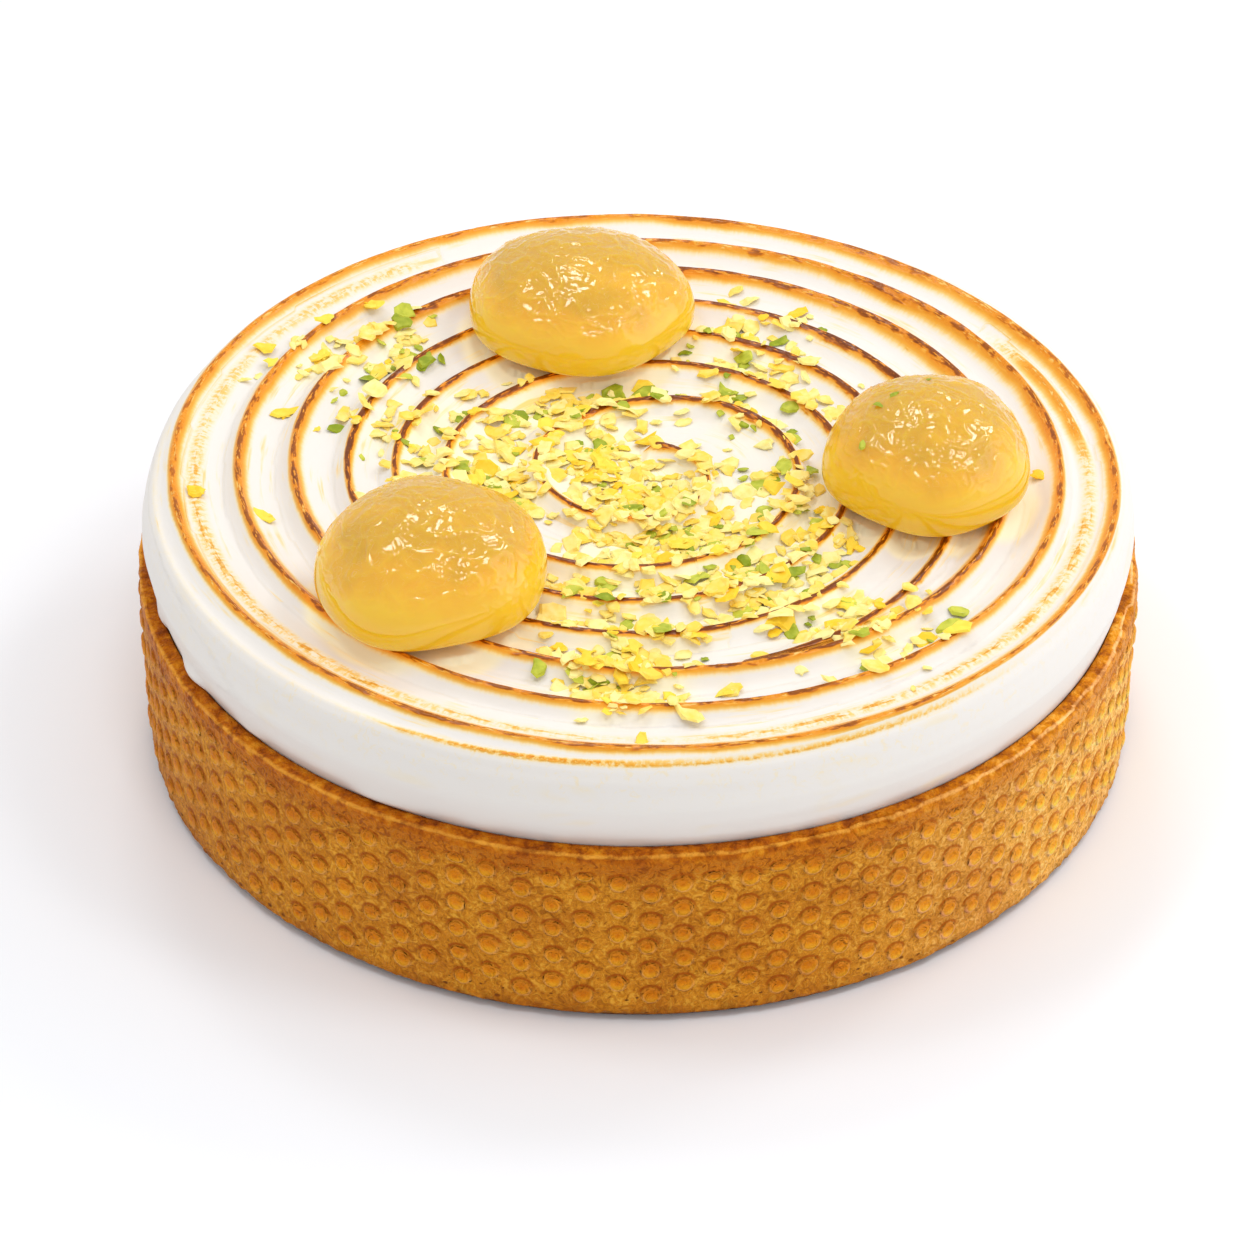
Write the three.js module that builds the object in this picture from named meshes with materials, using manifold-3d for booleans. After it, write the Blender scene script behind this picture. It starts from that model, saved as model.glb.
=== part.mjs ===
// A small lemon meringue tart in millimetres: a shortcrust shell baked in a perforated ring, a disc of
// piped and torched meringue with citrus zest on it, and three domes of set lemon jelly.
// +Z is up and the origin is the centre of the underside.
import * as THREE from "three";
import { mergeVertices } from "three/addons/utils/BufferGeometryUtils.js";
import Module from "manifold-3d";

const wasm = await Module();
wasm.setup();

// Shell: a ring mould 100 across and 20 high, with 2 mm holes that leave studs on the wall
const shellRadius = 50;
const shellHeight = 20;
const cornerDrop = 0.5;
const rimInnerRadius = 48.4;
const rimRaggedness = 0.3;
const seatDepth = 0.8;
const studColumns = 104;
const studsInColumn = 5;
const studPitch = 3;
const lowestStud = 3.2;
const studHeight = 0.4;

// Meringue: the disc's outline as radius and height, from its underside up to the outer ridge
const gap = 0.3;
const ringSteps = 72;
const meringueSide = [
  [47.5, shellHeight - seatDepth + gap],
  [48.1, 20.3],
  [49.3, 24.5],
  [48.4, 27.8],
];

// Swirl: closed ridges from the outside in, then a spiral that branches off the innermost of them
const swirlCentre = new THREE.Vector2(0.6, 1.3);
const branchAngle = 285;
const closedRidges = [
  { radius: 46.6, east: -0.24, north: -1.08, oval: 0.75, crest: 29.8, groove: 28.9 },
  { radius: 44.2, east: -0.4, north: -1.2, oval: 0.62, crest: 29.3, groove: 28.4 },
  { radius: 40.8, east: 0.36, north: -0.24, oval: 0.62, crest: 29.7, groove: 28 },
  { radius: 35.5, east: 0.49, north: 0.08, oval: 0.63, crest: 29.6, groove: 28 },
];
const quarterTurnRadii = [
  35.5, 30, 29.3, 29.6, 29.5, 24.7, 23.2, 25, 24.1, 19.3, 17, 20.1, 18.6, 14.2, 9.7, 11, 10.5, 3.6, 2,
];
const spiralCrest = 29.5;
const spiralGroove = 28;
const swirlTip = { radius: 1.2, height: 29 };

// Jelly domes: centre of the widest level, full width, height above that level and below it
const domes = [
  { name: "gel_dome_front", x: -19.7, y: -22.2, z: 31.7, width: 21.8, above: 8, below: 3.1, seed: 3 },
  { name: "gel_dome_back", x: -6, y: 25.5, z: 31.3, width: 23.1, above: 7, below: 2.7, seed: 8 },
  { name: "gel_dome_right", x: 28.3, y: -3.9, z: 31.7, width: 20.7, above: 7.8, below: 3.1, seed: 5 },
];
const domeWobble = 0.02;

// Zest: bits strewn in clusters, each with its centre, its spread and how many bits it has
const zestClusters = [
  { x: 0, y: -9, spread: 6, count: 26 },
  { x: -7, y: 5, spread: 4.5, count: 12 },
  { x: 13, y: -23, spread: 5.5, count: 16 },
  { x: -3, y: -32, spread: 4.5, count: 10 },
  { x: 12, y: 17, spread: 6, count: 12 },
  { x: -23, y: 6, spread: 6, count: 12 },
  { x: 20, y: -13, spread: 3, count: 6 },
  { x: -33, y: 14, spread: 6, count: 5 },
];
const zestSize = new THREE.Vector3(2.3, 1.5, 1.3);
const zestLift = 0.15;
const domeZest = [
  { x: 26.4, y: -7.4, z: 38.9 },
  { x: 31.2, y: -2.2, z: 39 },
];

const materials = {
  crust: new THREE.MeshStandardMaterial({ color: 0xc98a35, roughness: 0.75, metalness: 0 }),
  meringue: new THREE.MeshStandardMaterial({ color: 0xf6f1e6, roughness: 0.6, metalness: 0 }),
  gel: new THREE.MeshStandardMaterial({ color: 0xe8bd4c, roughness: 0.15, metalness: 0 }),
};

function seededRandom(seed) {
  let state = seed;
  return () => {
    state = (state + 0x6d2b79f5) | 0;
    let mixed = Math.imul(state ^ (state >>> 15), 1 | state);
    mixed = (mixed + Math.imul(mixed ^ (mixed >>> 7), 61 | mixed)) ^ mixed;
    return ((mixed ^ (mixed >>> 14)) >>> 0) / 4294967296;
  };
}

// A surface put together from rings of points that run counter-clockwise seen from above
class Skin {
  points = [];
  faces = [];

  polar(radius, angle, height, centre = { x: 0, y: 0 }) {
    this.points.push(centre.x + radius * Math.cos(angle), centre.y + radius * Math.sin(angle), height);
    return this.points.length / 3 - 1;
  }

  ring(count, radiusAt, heightAt, centre) {
    return Array.from({ length: count }, (_, i) => {
      const angle = ringAngle(i, count);
      return this.polar(radiusAt(angle, i), angle, heightAt(angle, i), centre);
    });
  }

  triangle(a, b, c) {
    if (a !== b && b !== c && a !== c) this.faces.push(a, b, c);
  }

  quad(a, b, c, d) {
    this.triangle(a, b, c);
    this.triangle(a, c, d);
  }

  // Joins a closed ring to the next one up the side, or the next one in across the top
  band(ring, next) {
    ring.forEach((point, i) => {
      const j = (i + 1) % ring.length;
      this.quad(point, ring[j], next[j], next[i]);
    });
  }

  closeBelow(ring, tip) {
    ring.forEach((point, i) => this.triangle(tip, ring[(i + 1) % ring.length], point));
  }

  closeAbove(ring, tip) {
    ring.forEach((point, i) => this.triangle(point, ring[(i + 1) % ring.length], tip));
  }

  geometry() {
    const made = new THREE.BufferGeometry();
    made.setAttribute("position", new THREE.Float32BufferAttribute(this.points, 3));
    made.setIndex(this.faces);
    made.computeVertexNormals();
    return made;
  }
}

// Every ring of points starts at the angle where the spiral branches off
function ringAngle(i, count) {
  return THREE.MathUtils.degToRad(branchAngle) + (2 * Math.PI * i) / count;
}

function welded(geometry) {
  const bare = geometry.clone();
  bare.deleteAttribute("normal");
  bare.deleteAttribute("uv");
  return mergeVertices(bare, 1e-4);
}

function toSolid(geometry) {
  const merged = welded(geometry);
  return new wasm.Manifold(
    new wasm.Mesh({
      numProp: 3,
      vertProperties: merged.attributes.position.array,
      triVerts: new Uint32Array(merged.index.array),
    }),
  );
}

function toGeometry(solid) {
  const mesh = solid.getMesh();
  const made = new THREE.BufferGeometry();
  made.setAttribute("position", new THREE.BufferAttribute(mesh.vertProperties, 3));
  made.setIndex(new THREE.BufferAttribute(mesh.triVerts, 1));
  made.computeVertexNormals();
  return made;
}

// Each stud is a six-sided point. Its valleys are shared with the studs round it, in staggered columns
function studdedWall(skin) {
  const step = (2 * Math.PI) / studColumns;
  const columns = Array.from({ length: studColumns }, (_, column) => {
    const angle = ringAngle(column, studColumns);
    const odd = column % 2;
    const lowest = lowestStud + (odd * studPitch) / 2;
    const made = { odd, tips: [], left: [], right: [] };
    for (let row = 0; row <= studsInColumn; row++) {
      const valley = lowest + (row - 0.5) * studPitch;
      made.left.push(skin.polar(shellRadius, angle - step / 3, valley));
      made.right.push(skin.polar(shellRadius, angle + step / 3, valley));
      if (row < studsInColumn)
        made.tips.push(skin.polar(shellRadius + studHeight, angle, lowest + row * studPitch));
    }
    return made;
  });
  columns.forEach((column, i) => {
    const next = columns[(i + 1) % studColumns];
    const previous = columns[(i + studColumns - 1) % studColumns];
    column.tips.forEach((tip, row) => {
      const side = row + column.odd;
      const around = [
        column.left[row],
        column.right[row],
        next.left[side],
        column.right[row + 1],
        column.left[row + 1],
        previous.right[side],
      ];
      around.forEach((valley, k) => skin.triangle(tip, valley, around[(k + 1) % around.length]));
    });
  });
  return columns;
}

function crust() {
  const skin = new Skin();
  const random = seededRandom(11);
  const worn = Array.from({ length: studColumns }, () => rimRaggedness * random() ** 2);
  const row = (radius, height, wear = 0) =>
    skin.ring(
      studColumns,
      (_, i) => radius - wear * worn[i],
      (_, i) => height - wear * worn[i],
    );
  const foot = row(shellRadius - cornerDrop, 0);
  const wallFoot = row(shellRadius, cornerDrop);
  const columns = studdedWall(skin);
  const wallTop = row(shellRadius, shellHeight - cornerDrop, 1);
  const rimOuter = row(shellRadius - cornerDrop, shellHeight, 1);
  const rimInner = row(rimInnerRadius, shellHeight - 0.1);
  const seat = row(rimInnerRadius, shellHeight - seatDepth);

  skin.closeBelow(foot, skin.polar(0, 0, 0));
  skin.band(foot, wallFoot);
  columns.forEach((column, i) => {
    const j = (i + 1) % studColumns;
    const next = columns[j];
    skin.triangle(wallFoot[i], column.right[0], column.left[0]);
    skin.quad(wallFoot[i], wallFoot[j], next.left[0], column.right[0]);
    skin.triangle(column.left.at(-1), column.right.at(-1), wallTop[i]);
    skin.quad(column.right.at(-1), next.left.at(-1), wallTop[j], wallTop[i]);
  });
  skin.band(wallTop, rimOuter);
  skin.band(rimOuter, rimInner);
  skin.band(rimInner, seat);
  skin.closeAbove(seat, skin.polar(0, 0, shellHeight - seatDepth));
  return skin.geometry();
}

function ridgeRadius(ridge, angle) {
  const shift = ridge.east * Math.cos(angle) + ridge.north * Math.sin(angle);
  return ridge.radius + shift - ridge.oval * Math.sin(2 * angle);
}

// Radius of the spiral ridge, by quarter turns from its branch, through its named radii
function spiralRadius(quarterTurns) {
  const before = Math.min(Math.floor(quarterTurns), quarterTurnRadii.length - 2);
  const t = quarterTurns - before;
  const last = quarterTurnRadii.length - 1;
  const [a, b, c, d] = [-1, 0, 1, 2].map((k) => quarterTurnRadii[Math.min(Math.max(before + k, 0), last)]);
  return b + 0.5 * t * (c - a + t * (2 * a - 5 * b + 4 * c - d + t * (3 * (b - c) + d - a)));
}

function swirlBody() {
  const skin = new Skin();
  const side = meringueSide.map(([radius, height]) =>
    skin.ring(ringSteps, () => radius, () => height),
  );
  skin.closeBelow(side[0], skin.polar(0, 0, meringueSide[0][1]));
  side.slice(1).forEach((ring, i) => skin.band(side[i], ring));

  let outer = side.at(-1);
  let outerRidge = null;
  for (const ridge of closedRidges) {
    const crest = skin.ring(
      ringSteps,
      (angle) => ridgeRadius(ridge, angle),
      () => ridge.crest,
      swirlCentre,
    );
    if (outerRidge) {
      const last = outerRidge;
      const groove = skin.ring(
        ringSteps,
        (angle) => (ridgeRadius(last, angle) + ridgeRadius(ridge, angle)) / 2,
        () => last.groove,
        swirlCentre,
      );
      skin.band(outer, groove);
      outer = groove;
    }
    skin.band(outer, crest);
    outer = crest;
    outerRidge = ridge;
  }

  // The spiral's first point is the innermost closed ridge's own, and each turn has a groove outside it
  const turns = (quarterTurnRadii.length - 1) / 4;
  const steps = Math.round(turns * ringSteps);
  const fullWidth = quarterTurnRadii[0] - quarterTurnRadii[4];
  const crest = [outer[0]];
  const groove = [outer[0]];
  const radii = [quarterTurnRadii[0]];
  for (let i = 1; i <= steps; i++) {
    const angle = ringAngle(i, ringSteps);
    const radius = spiralRadius((4 * i) / ringSteps);
    const outside = i < ringSteps ? ridgeRadius(outerRidge, angle) : radii[i - ringSteps];
    const open = Math.min(1, (outside - radius) / fullWidth);
    const depth = (spiralCrest - spiralGroove) * open;
    radii.push(radius);
    crest.push(skin.polar(radius, angle, spiralCrest, swirlCentre));
    groove.push(skin.polar((outside + radius) / 2, angle, spiralCrest - depth, swirlCentre));
  }
  const outsideOf = (i) => (i < ringSteps ? outer[i] : crest[i - ringSteps]);
  for (let i = 0; i < steps; i++) {
    skin.quad(outsideOf(i), outsideOf(i + 1), groove[i + 1], groove[i]);
    skin.quad(groove[i], groove[i + 1], crest[i + 1], crest[i]);
  }
  const heart = [...crest.slice(steps - ringSteps), groove[steps]];
  const tipAngle = ringAngle(steps, ringSteps) + Math.PI;
  skin.closeAbove(heart, skin.polar(swirlTip.radius, tipAngle, swirlTip.height, swirlCentre));
  return skin.geometry();
}

// A round drop that has settled: full above its widest level, drawn in below it to a flat spot
function dome(shape, grown = 0) {
  const random = seededRandom(shape.seed);
  const waves = [2, 3, 5].map((count) => ({ count, phase: 2 * Math.PI * random() }));
  const geometry = welded(new THREE.SphereGeometry(1, 20, 12));
  geometry.rotateX(Math.PI / 2);
  const position = geometry.getAttribute("position");
  const flatShare = 1.35;
  for (let i = 0; i < position.count; i++) {
    const [x, y, z] = [position.getX(i), position.getY(i), position.getZ(i)];
    const angle = Math.atan2(y, x);
    const ripple = waves.reduce((sum, wave) => sum + Math.sin(wave.count * angle + wave.phase), 0);
    const radius = shape.width / 2 + grown + (domeWobble * shape.width * ripple) / 2;
    const height =
      z > 0 ? (shape.above + grown) * z : -(shape.below + grown) * Math.min(1, flatShare * -z);
    position.setXYZ(i, shape.x + radius * x, shape.y + radius * y, shape.z + height);
  }
  geometry.computeVertexNormals();
  return geometry;
}

function zestBit(random, place) {
  const geometry = new THREE.OctahedronGeometry(0.5);
  const size = 0.75 + 0.5 * random();
  geometry.scale(zestSize.x * size, zestSize.y * size * (0.7 + 0.5 * random()), zestSize.z * size);
  geometry.rotateX(0.5 * (random() - 0.5));
  geometry.rotateZ(2 * Math.PI * random());
  geometry.translate(place.x, place.y, place.z);
  return toSolid(geometry);
}

// Three draws that add up to a bell curve about zero
function scatter(random, spread) {
  return spread * (random() + random() + random() - 1.5);
}

function meringue() {
  const bare = domes.reduce(
    (solid, shape) => solid.subtract(toSolid(dome(shape, gap))),
    toSolid(swirlBody()),
  );
  const surface = new THREE.Mesh(toGeometry(bare), new THREE.MeshBasicMaterial());
  const ray = new THREE.Raycaster();
  const down = new THREE.Vector3(0, 0, -1);
  const random = seededRandom(21);
  const clearance = zestSize.x;
  let topped = bare;
  for (const cluster of zestClusters)
    for (let i = 0; i < cluster.count; i++) {
      const x = cluster.x + scatter(random, 2 * cluster.spread);
      const y = cluster.y + scatter(random, 2 * cluster.spread);
      const blocked = domes.some(
        (shape) => Math.hypot(x - shape.x, y - shape.y) < shape.width / 2 + clearance,
      );
      ray.set(new THREE.Vector3(x, y, 2 * shellHeight + gap), down);
      const hit = ray.intersectObject(surface)[0];
      if (blocked || !hit) continue;
      const joined = topped.add(zestBit(random, { x, y, z: hit.point.z + zestLift }));
      if (joined.decompose().length === 1) topped = joined; // a bit that would seal a hollow is left out
    }
  return toGeometry(topped);
}

function gelDome(shape) {
  const random = seededRandom(shape.seed + 40);
  let solid = toSolid(dome(shape));
  if (shape.name === "gel_dome_right")
    for (const place of domeZest) solid = solid.add(zestBit(random, place));
  return toGeometry(solid);
}

const tart = new THREE.Group();

function addPiece(name, geometry, material) {
  const mesh = new THREE.Mesh(geometry, material);
  mesh.name = name;
  tart.add(mesh);
}

addPiece("crust", crust(), materials.crust);
addPiece("meringue", meringue(), materials.meringue);
for (const shape of domes) addPiece(shape.name, gelDome(shape), materials.gel);

export default tart;
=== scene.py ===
import math

import bmesh
import bpy
import numpy as np
from mathutils import Euler, Matrix, Vector, noise


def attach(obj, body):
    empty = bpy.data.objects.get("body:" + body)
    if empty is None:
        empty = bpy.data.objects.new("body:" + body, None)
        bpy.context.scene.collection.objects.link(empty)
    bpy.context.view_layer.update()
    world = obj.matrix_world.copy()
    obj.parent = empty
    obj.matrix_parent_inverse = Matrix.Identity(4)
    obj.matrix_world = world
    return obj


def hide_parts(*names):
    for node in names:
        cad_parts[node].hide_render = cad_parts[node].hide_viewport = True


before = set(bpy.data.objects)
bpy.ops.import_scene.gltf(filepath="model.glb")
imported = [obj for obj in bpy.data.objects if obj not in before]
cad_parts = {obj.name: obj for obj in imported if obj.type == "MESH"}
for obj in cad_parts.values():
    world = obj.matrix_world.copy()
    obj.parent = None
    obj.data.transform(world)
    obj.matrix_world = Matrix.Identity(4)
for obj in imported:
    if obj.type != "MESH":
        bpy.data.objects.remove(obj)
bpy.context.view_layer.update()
mm = 0.001


def linearColour(hexCode):
    channels = [int(hexCode[i : i + 2], 16) / 255 for i in (1, 3, 5)]
    linear = [c / 12.92 if c <= 0.04045 else ((c + 0.055) / 1.055) ** 2.4 for c in channels]
    return (*linear, 1)


def perMetre(size):
    return 1 / (size * mm)  # a texture's scale from the size in mm of what it draws


def addNode(tree, kind, inputs=(), output=0, ramp=None, **settings):
    # inputs are constants or the sockets that feed them, by number or by name; a ramp lists (position, hex);
    # what comes back is the output of that number, or a list for a slice
    node = tree.nodes.new("ShaderNode" + kind)
    for name, value in settings.items():
        setattr(node, name, value)
    for key, value in inputs.items() if isinstance(inputs, dict) else enumerate(inputs):
        if isinstance(value, bpy.types.NodeSocket):
            tree.links.new(value, node.inputs[key])
        else:
            node.inputs[key].default_value = value
    if ramp:
        elements = node.color_ramp.elements
        elements.remove(elements[1])
        elements[0].position, elements[0].color = ramp[0][0], linearColour(ramp[0][1])
        for position, hexCode in ramp[1:]:
            elements.new(position).color = linearColour(hexCode)
    return node.outputs[output]


soft = {"interpolation_type": "SMOOTHSTEP"}  # for a MapRange that eases in and out


def newMaterial(name, finish):
    # finish holds the constants of the shader's own sockets
    material = bpy.data.materials.new(name)
    material.use_nodes = True
    surface = material.node_tree.nodes["Principled BSDF"]
    for key, value in finish.items():
        surface.inputs[key].default_value = value
    return material, material.node_tree, surface


def smoothStep(low, high, value):
    share = np.clip((value - low) / (high - low), 0, 1)
    return share * share * (3 - 2 * share)


def between(ends, value):
    # fades in over the first two of the four ends, and out over the last two
    return smoothStep(ends[0], ends[1], value) * smoothStep(ends[3], ends[2], value)


def hump(value, middle, width):
    return np.exp(-(((value - middle) / width) ** 2))


def noiseAt(points, size, seed=0, detail=1):
    # soft noise of about -1 to 1 whose lumps are about size mm across; each seed reads it somewhere else
    shift = Vector((seed * 7.3, seed * 3.1, seed * 5.7))
    if detail == 1:
        return np.array([noise.noise(Vector(p) / size + shift) for p in points])
    return np.array([noise.fractal(Vector(p) / size + shift, 1, 2, detail) for p in points])


def meshPoints(mesh):
    points = np.empty(len(mesh.vertices) * 3)
    mesh.vertices.foreach_get("co", points)
    return points.reshape(-1, 3)


def setPoints(mesh, points):
    mesh.vertices.foreach_set("co", np.asarray(points, dtype=np.float32).ravel())
    mesh.update()


def addAttribute(mesh, name, values):
    kind, field = ("FLOAT", "value") if values.ndim == 1 else ("FLOAT_VECTOR", "vector")
    made = mesh.attributes.new(name, kind, "POINT")
    made.data.foreach_set(field, np.asarray(values, dtype=np.float32).ravel())


def toMesh(bm, name):
    bmesh.ops.remove_doubles(bm, verts=bm.verts, dist=1e-4)
    bmesh.ops.recalc_face_normals(bm, faces=bm.faces)
    mesh = bpy.data.meshes.new(name)
    bm.to_mesh(mesh)
    bm.free()
    mesh.shade_smooth()
    return mesh


def finishPiece(mesh, material, slot, *nodes):
    mesh.transform(Matrix.Scale(mm, 4))
    mesh.materials.append(material)
    piece = bpy.data.objects.new(mesh.name, mesh)
    bpy.context.scene.collection.objects.link(piece)
    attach(piece, "root")
    if nodes:
        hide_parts(*nodes)
    print(mesh.name, len(mesh.polygons), "faces")


def spinProfile(bm, profile, cuts, steps):
    # profile is a chain of (radius, height) spun round Z; cuts is how many points are put inside each span
    outline = [Vector((profile[0][0], 0, profile[0][1]))]
    for (radius, height), cut in zip(profile[1:], cuts):
        start, end = outline[-1], Vector((radius, 0, height))
        outline += [start.lerp(end, (k + 1) / (cut + 1)) for k in range(cut + 1)]
    chain = [bm.verts.new(point) for point in outline]
    for start, end in zip(chain, chain[1:]):
        bm.edges.new((start, end))
    # an eighth of a turn is spun and then doubled three times, which is far quicker than a full spin
    eighth = math.pi / 4
    bmesh.ops.spin(
        bm, geom=bm.verts[:] + bm.edges[:], cent=(0, 0, 0), axis=(0, 0, 1), angle=eighth, steps=steps // 8
    )
    for turn in (eighth, 2 * eighth, 4 * eighth):
        copied = bmesh.ops.duplicate(bm, geom=bm.verts[:] + bm.edges[:] + bm.faces[:])["geom"]
        moved = [part for part in copied if isinstance(part, bmesh.types.BMVert)]
        bmesh.ops.rotate(bm, verts=moved, cent=(0, 0, 0), matrix=Matrix.Rotation(turn, 3, "Z"))


camera = {"place": (-1.14, -328.5, 251.96), "tilt": 53.5, "lens": 114.83, "sensor": 36}


def makeCamera():
    data = bpy.data.cameras.new("camera")
    data.lens = camera["lens"]
    data.sensor_width = camera["sensor"]
    rig = bpy.data.objects.new("camera", data)
    rig.location = Vector(camera["place"]) * mm
    rig.rotation_euler = (math.radians(camera["tilt"]), 0, 0)
    bpy.context.scene.collection.objects.link(rig)
    bpy.context.scene.camera = rig


shell = {
    "radius": 50,
    "height": 20,
    "corner": 1.0,
    "rimCorner": 0.12,
    "rimInner": 48.4,
    "rimDrop": 0.1,
    "seatDepth": 0.8,
    "wallRows": 64,
    "stepsInColumn": 12,
    "startAngle": 285,
    "studSeed": 11,
    "studColumns": 104,
    "studRows": 5,
    "studPitch": 3,
    "lowestStud": 3.2,
    "studBand": (0.8, 2.2, 17.5, 18.7),
    "studRadius": 1.0,
    "studHeight": 0.45,
    "studJitter": 0.1,
    "studSpread": 0.05,  # how much the studs differ in size
    "firmness": (0.6, 1.1),  # how far the dough was pressed into each hole
    # the top row has only half studs, and only over some columns
    "halfStuds": 0.55,
    "halfDrop": 0.7,
    "halfSquash": 0.6,
    "halfFirmness": 0.5,
    # a stud's relief, as shares of its height
    "cap": 0.7,
    "bead": 0.2,
    "dimple": 0.3,
    "moat": 0.14,
    # the dough's own relief
    "crumbs": 0.06,
    "waves": 0.05,
    "footCrumbs": 0.2,
    "footChips": 0.45,
    "rimWrinkles": 0.14,
    "rimWaves": 0.16,
    "rimLumps": 0.17,
    "rimWear": 0.26,
    "footFade": (2.4, 0.4),  # height above the floor
    "rimFade": (3, 1.8),  # depth below the rim
    # the rim has broken off in blocks on one side
    "brokenSide": -0.55,  # radians
    "blockSeed": 4,
    "blockLength": 3.6,
    "blockStep": 0.45,
    # sizes of what the crust's colours draw
    "crumbSize": 0.42,  # grains of sugar and flour, coarse enough to show
    "wrinkleSize": 0.85,
    "clumpSize": 1.5,
    "patchSize": 7,
    "pitSpacing": 1.7,
}


def nearestStud(across, height, random):
    # for each point, the nearest stud's distance in its own radii, its firmness and tone, and how far the
    # point is above its middle, from -1 straight below to 1 straight above
    s = shell
    columns = s["studColumns"]
    rows = s["studRows"] + 1
    pitch = 2 * math.pi * s["radius"] / columns
    jitter = random.normal(0, s["studJitter"], (columns, rows, 2))
    size = random.normal(1, s["studSpread"], (columns, rows))
    firmness = random.uniform(*s["firmness"], (columns, rows))
    tone = random.uniform(0, 1, (columns, rows))
    half = random.uniform(0, 1, columns) < s["halfStuds"]
    column = np.round(across / pitch).astype(int)
    farOff = 9.0
    edge = np.full(len(across), farOff)
    lift, shade, above = np.zeros((3, len(across)))
    for side in (-1, 0, 1):
        k = (column + side) % columns
        odd = k % 2
        lowest = s["lowestStud"] + odd * s["studPitch"] / 2
        nearest = np.round((height - lowest) / s["studPitch"]).astype(int)
        for step in (-1, 0, 1):
            row = np.clip(nearest + step, 0, rows - 1)
            top = row == rows - 1
            middle = lowest + row * s["studPitch"] - s["halfDrop"] * top
            squash = np.where(top, s["halfSquash"], 1)
            dx = (across - (column + side) * pitch) + jitter[k, row, 0]
            dz = (height - middle + jitter[k, row, 1]) / squash
            share = np.hypot(dx, dz) / (s["studRadius"] * size[k, row])
            share[top & ((odd == 1) | ~half[k])] = farOff
            closer = share < edge
            edge = np.where(closer, share, edge)
            lift = np.where(closer, firmness[k, row] * np.where(top, s["halfFirmness"], 1), lift)
            shade = np.where(closer, tone[k, row], shade)
            above = np.where(closer, dz / np.maximum(np.hypot(dx, dz), 1e-6), above)
    return edge, lift, shade, above


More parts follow.
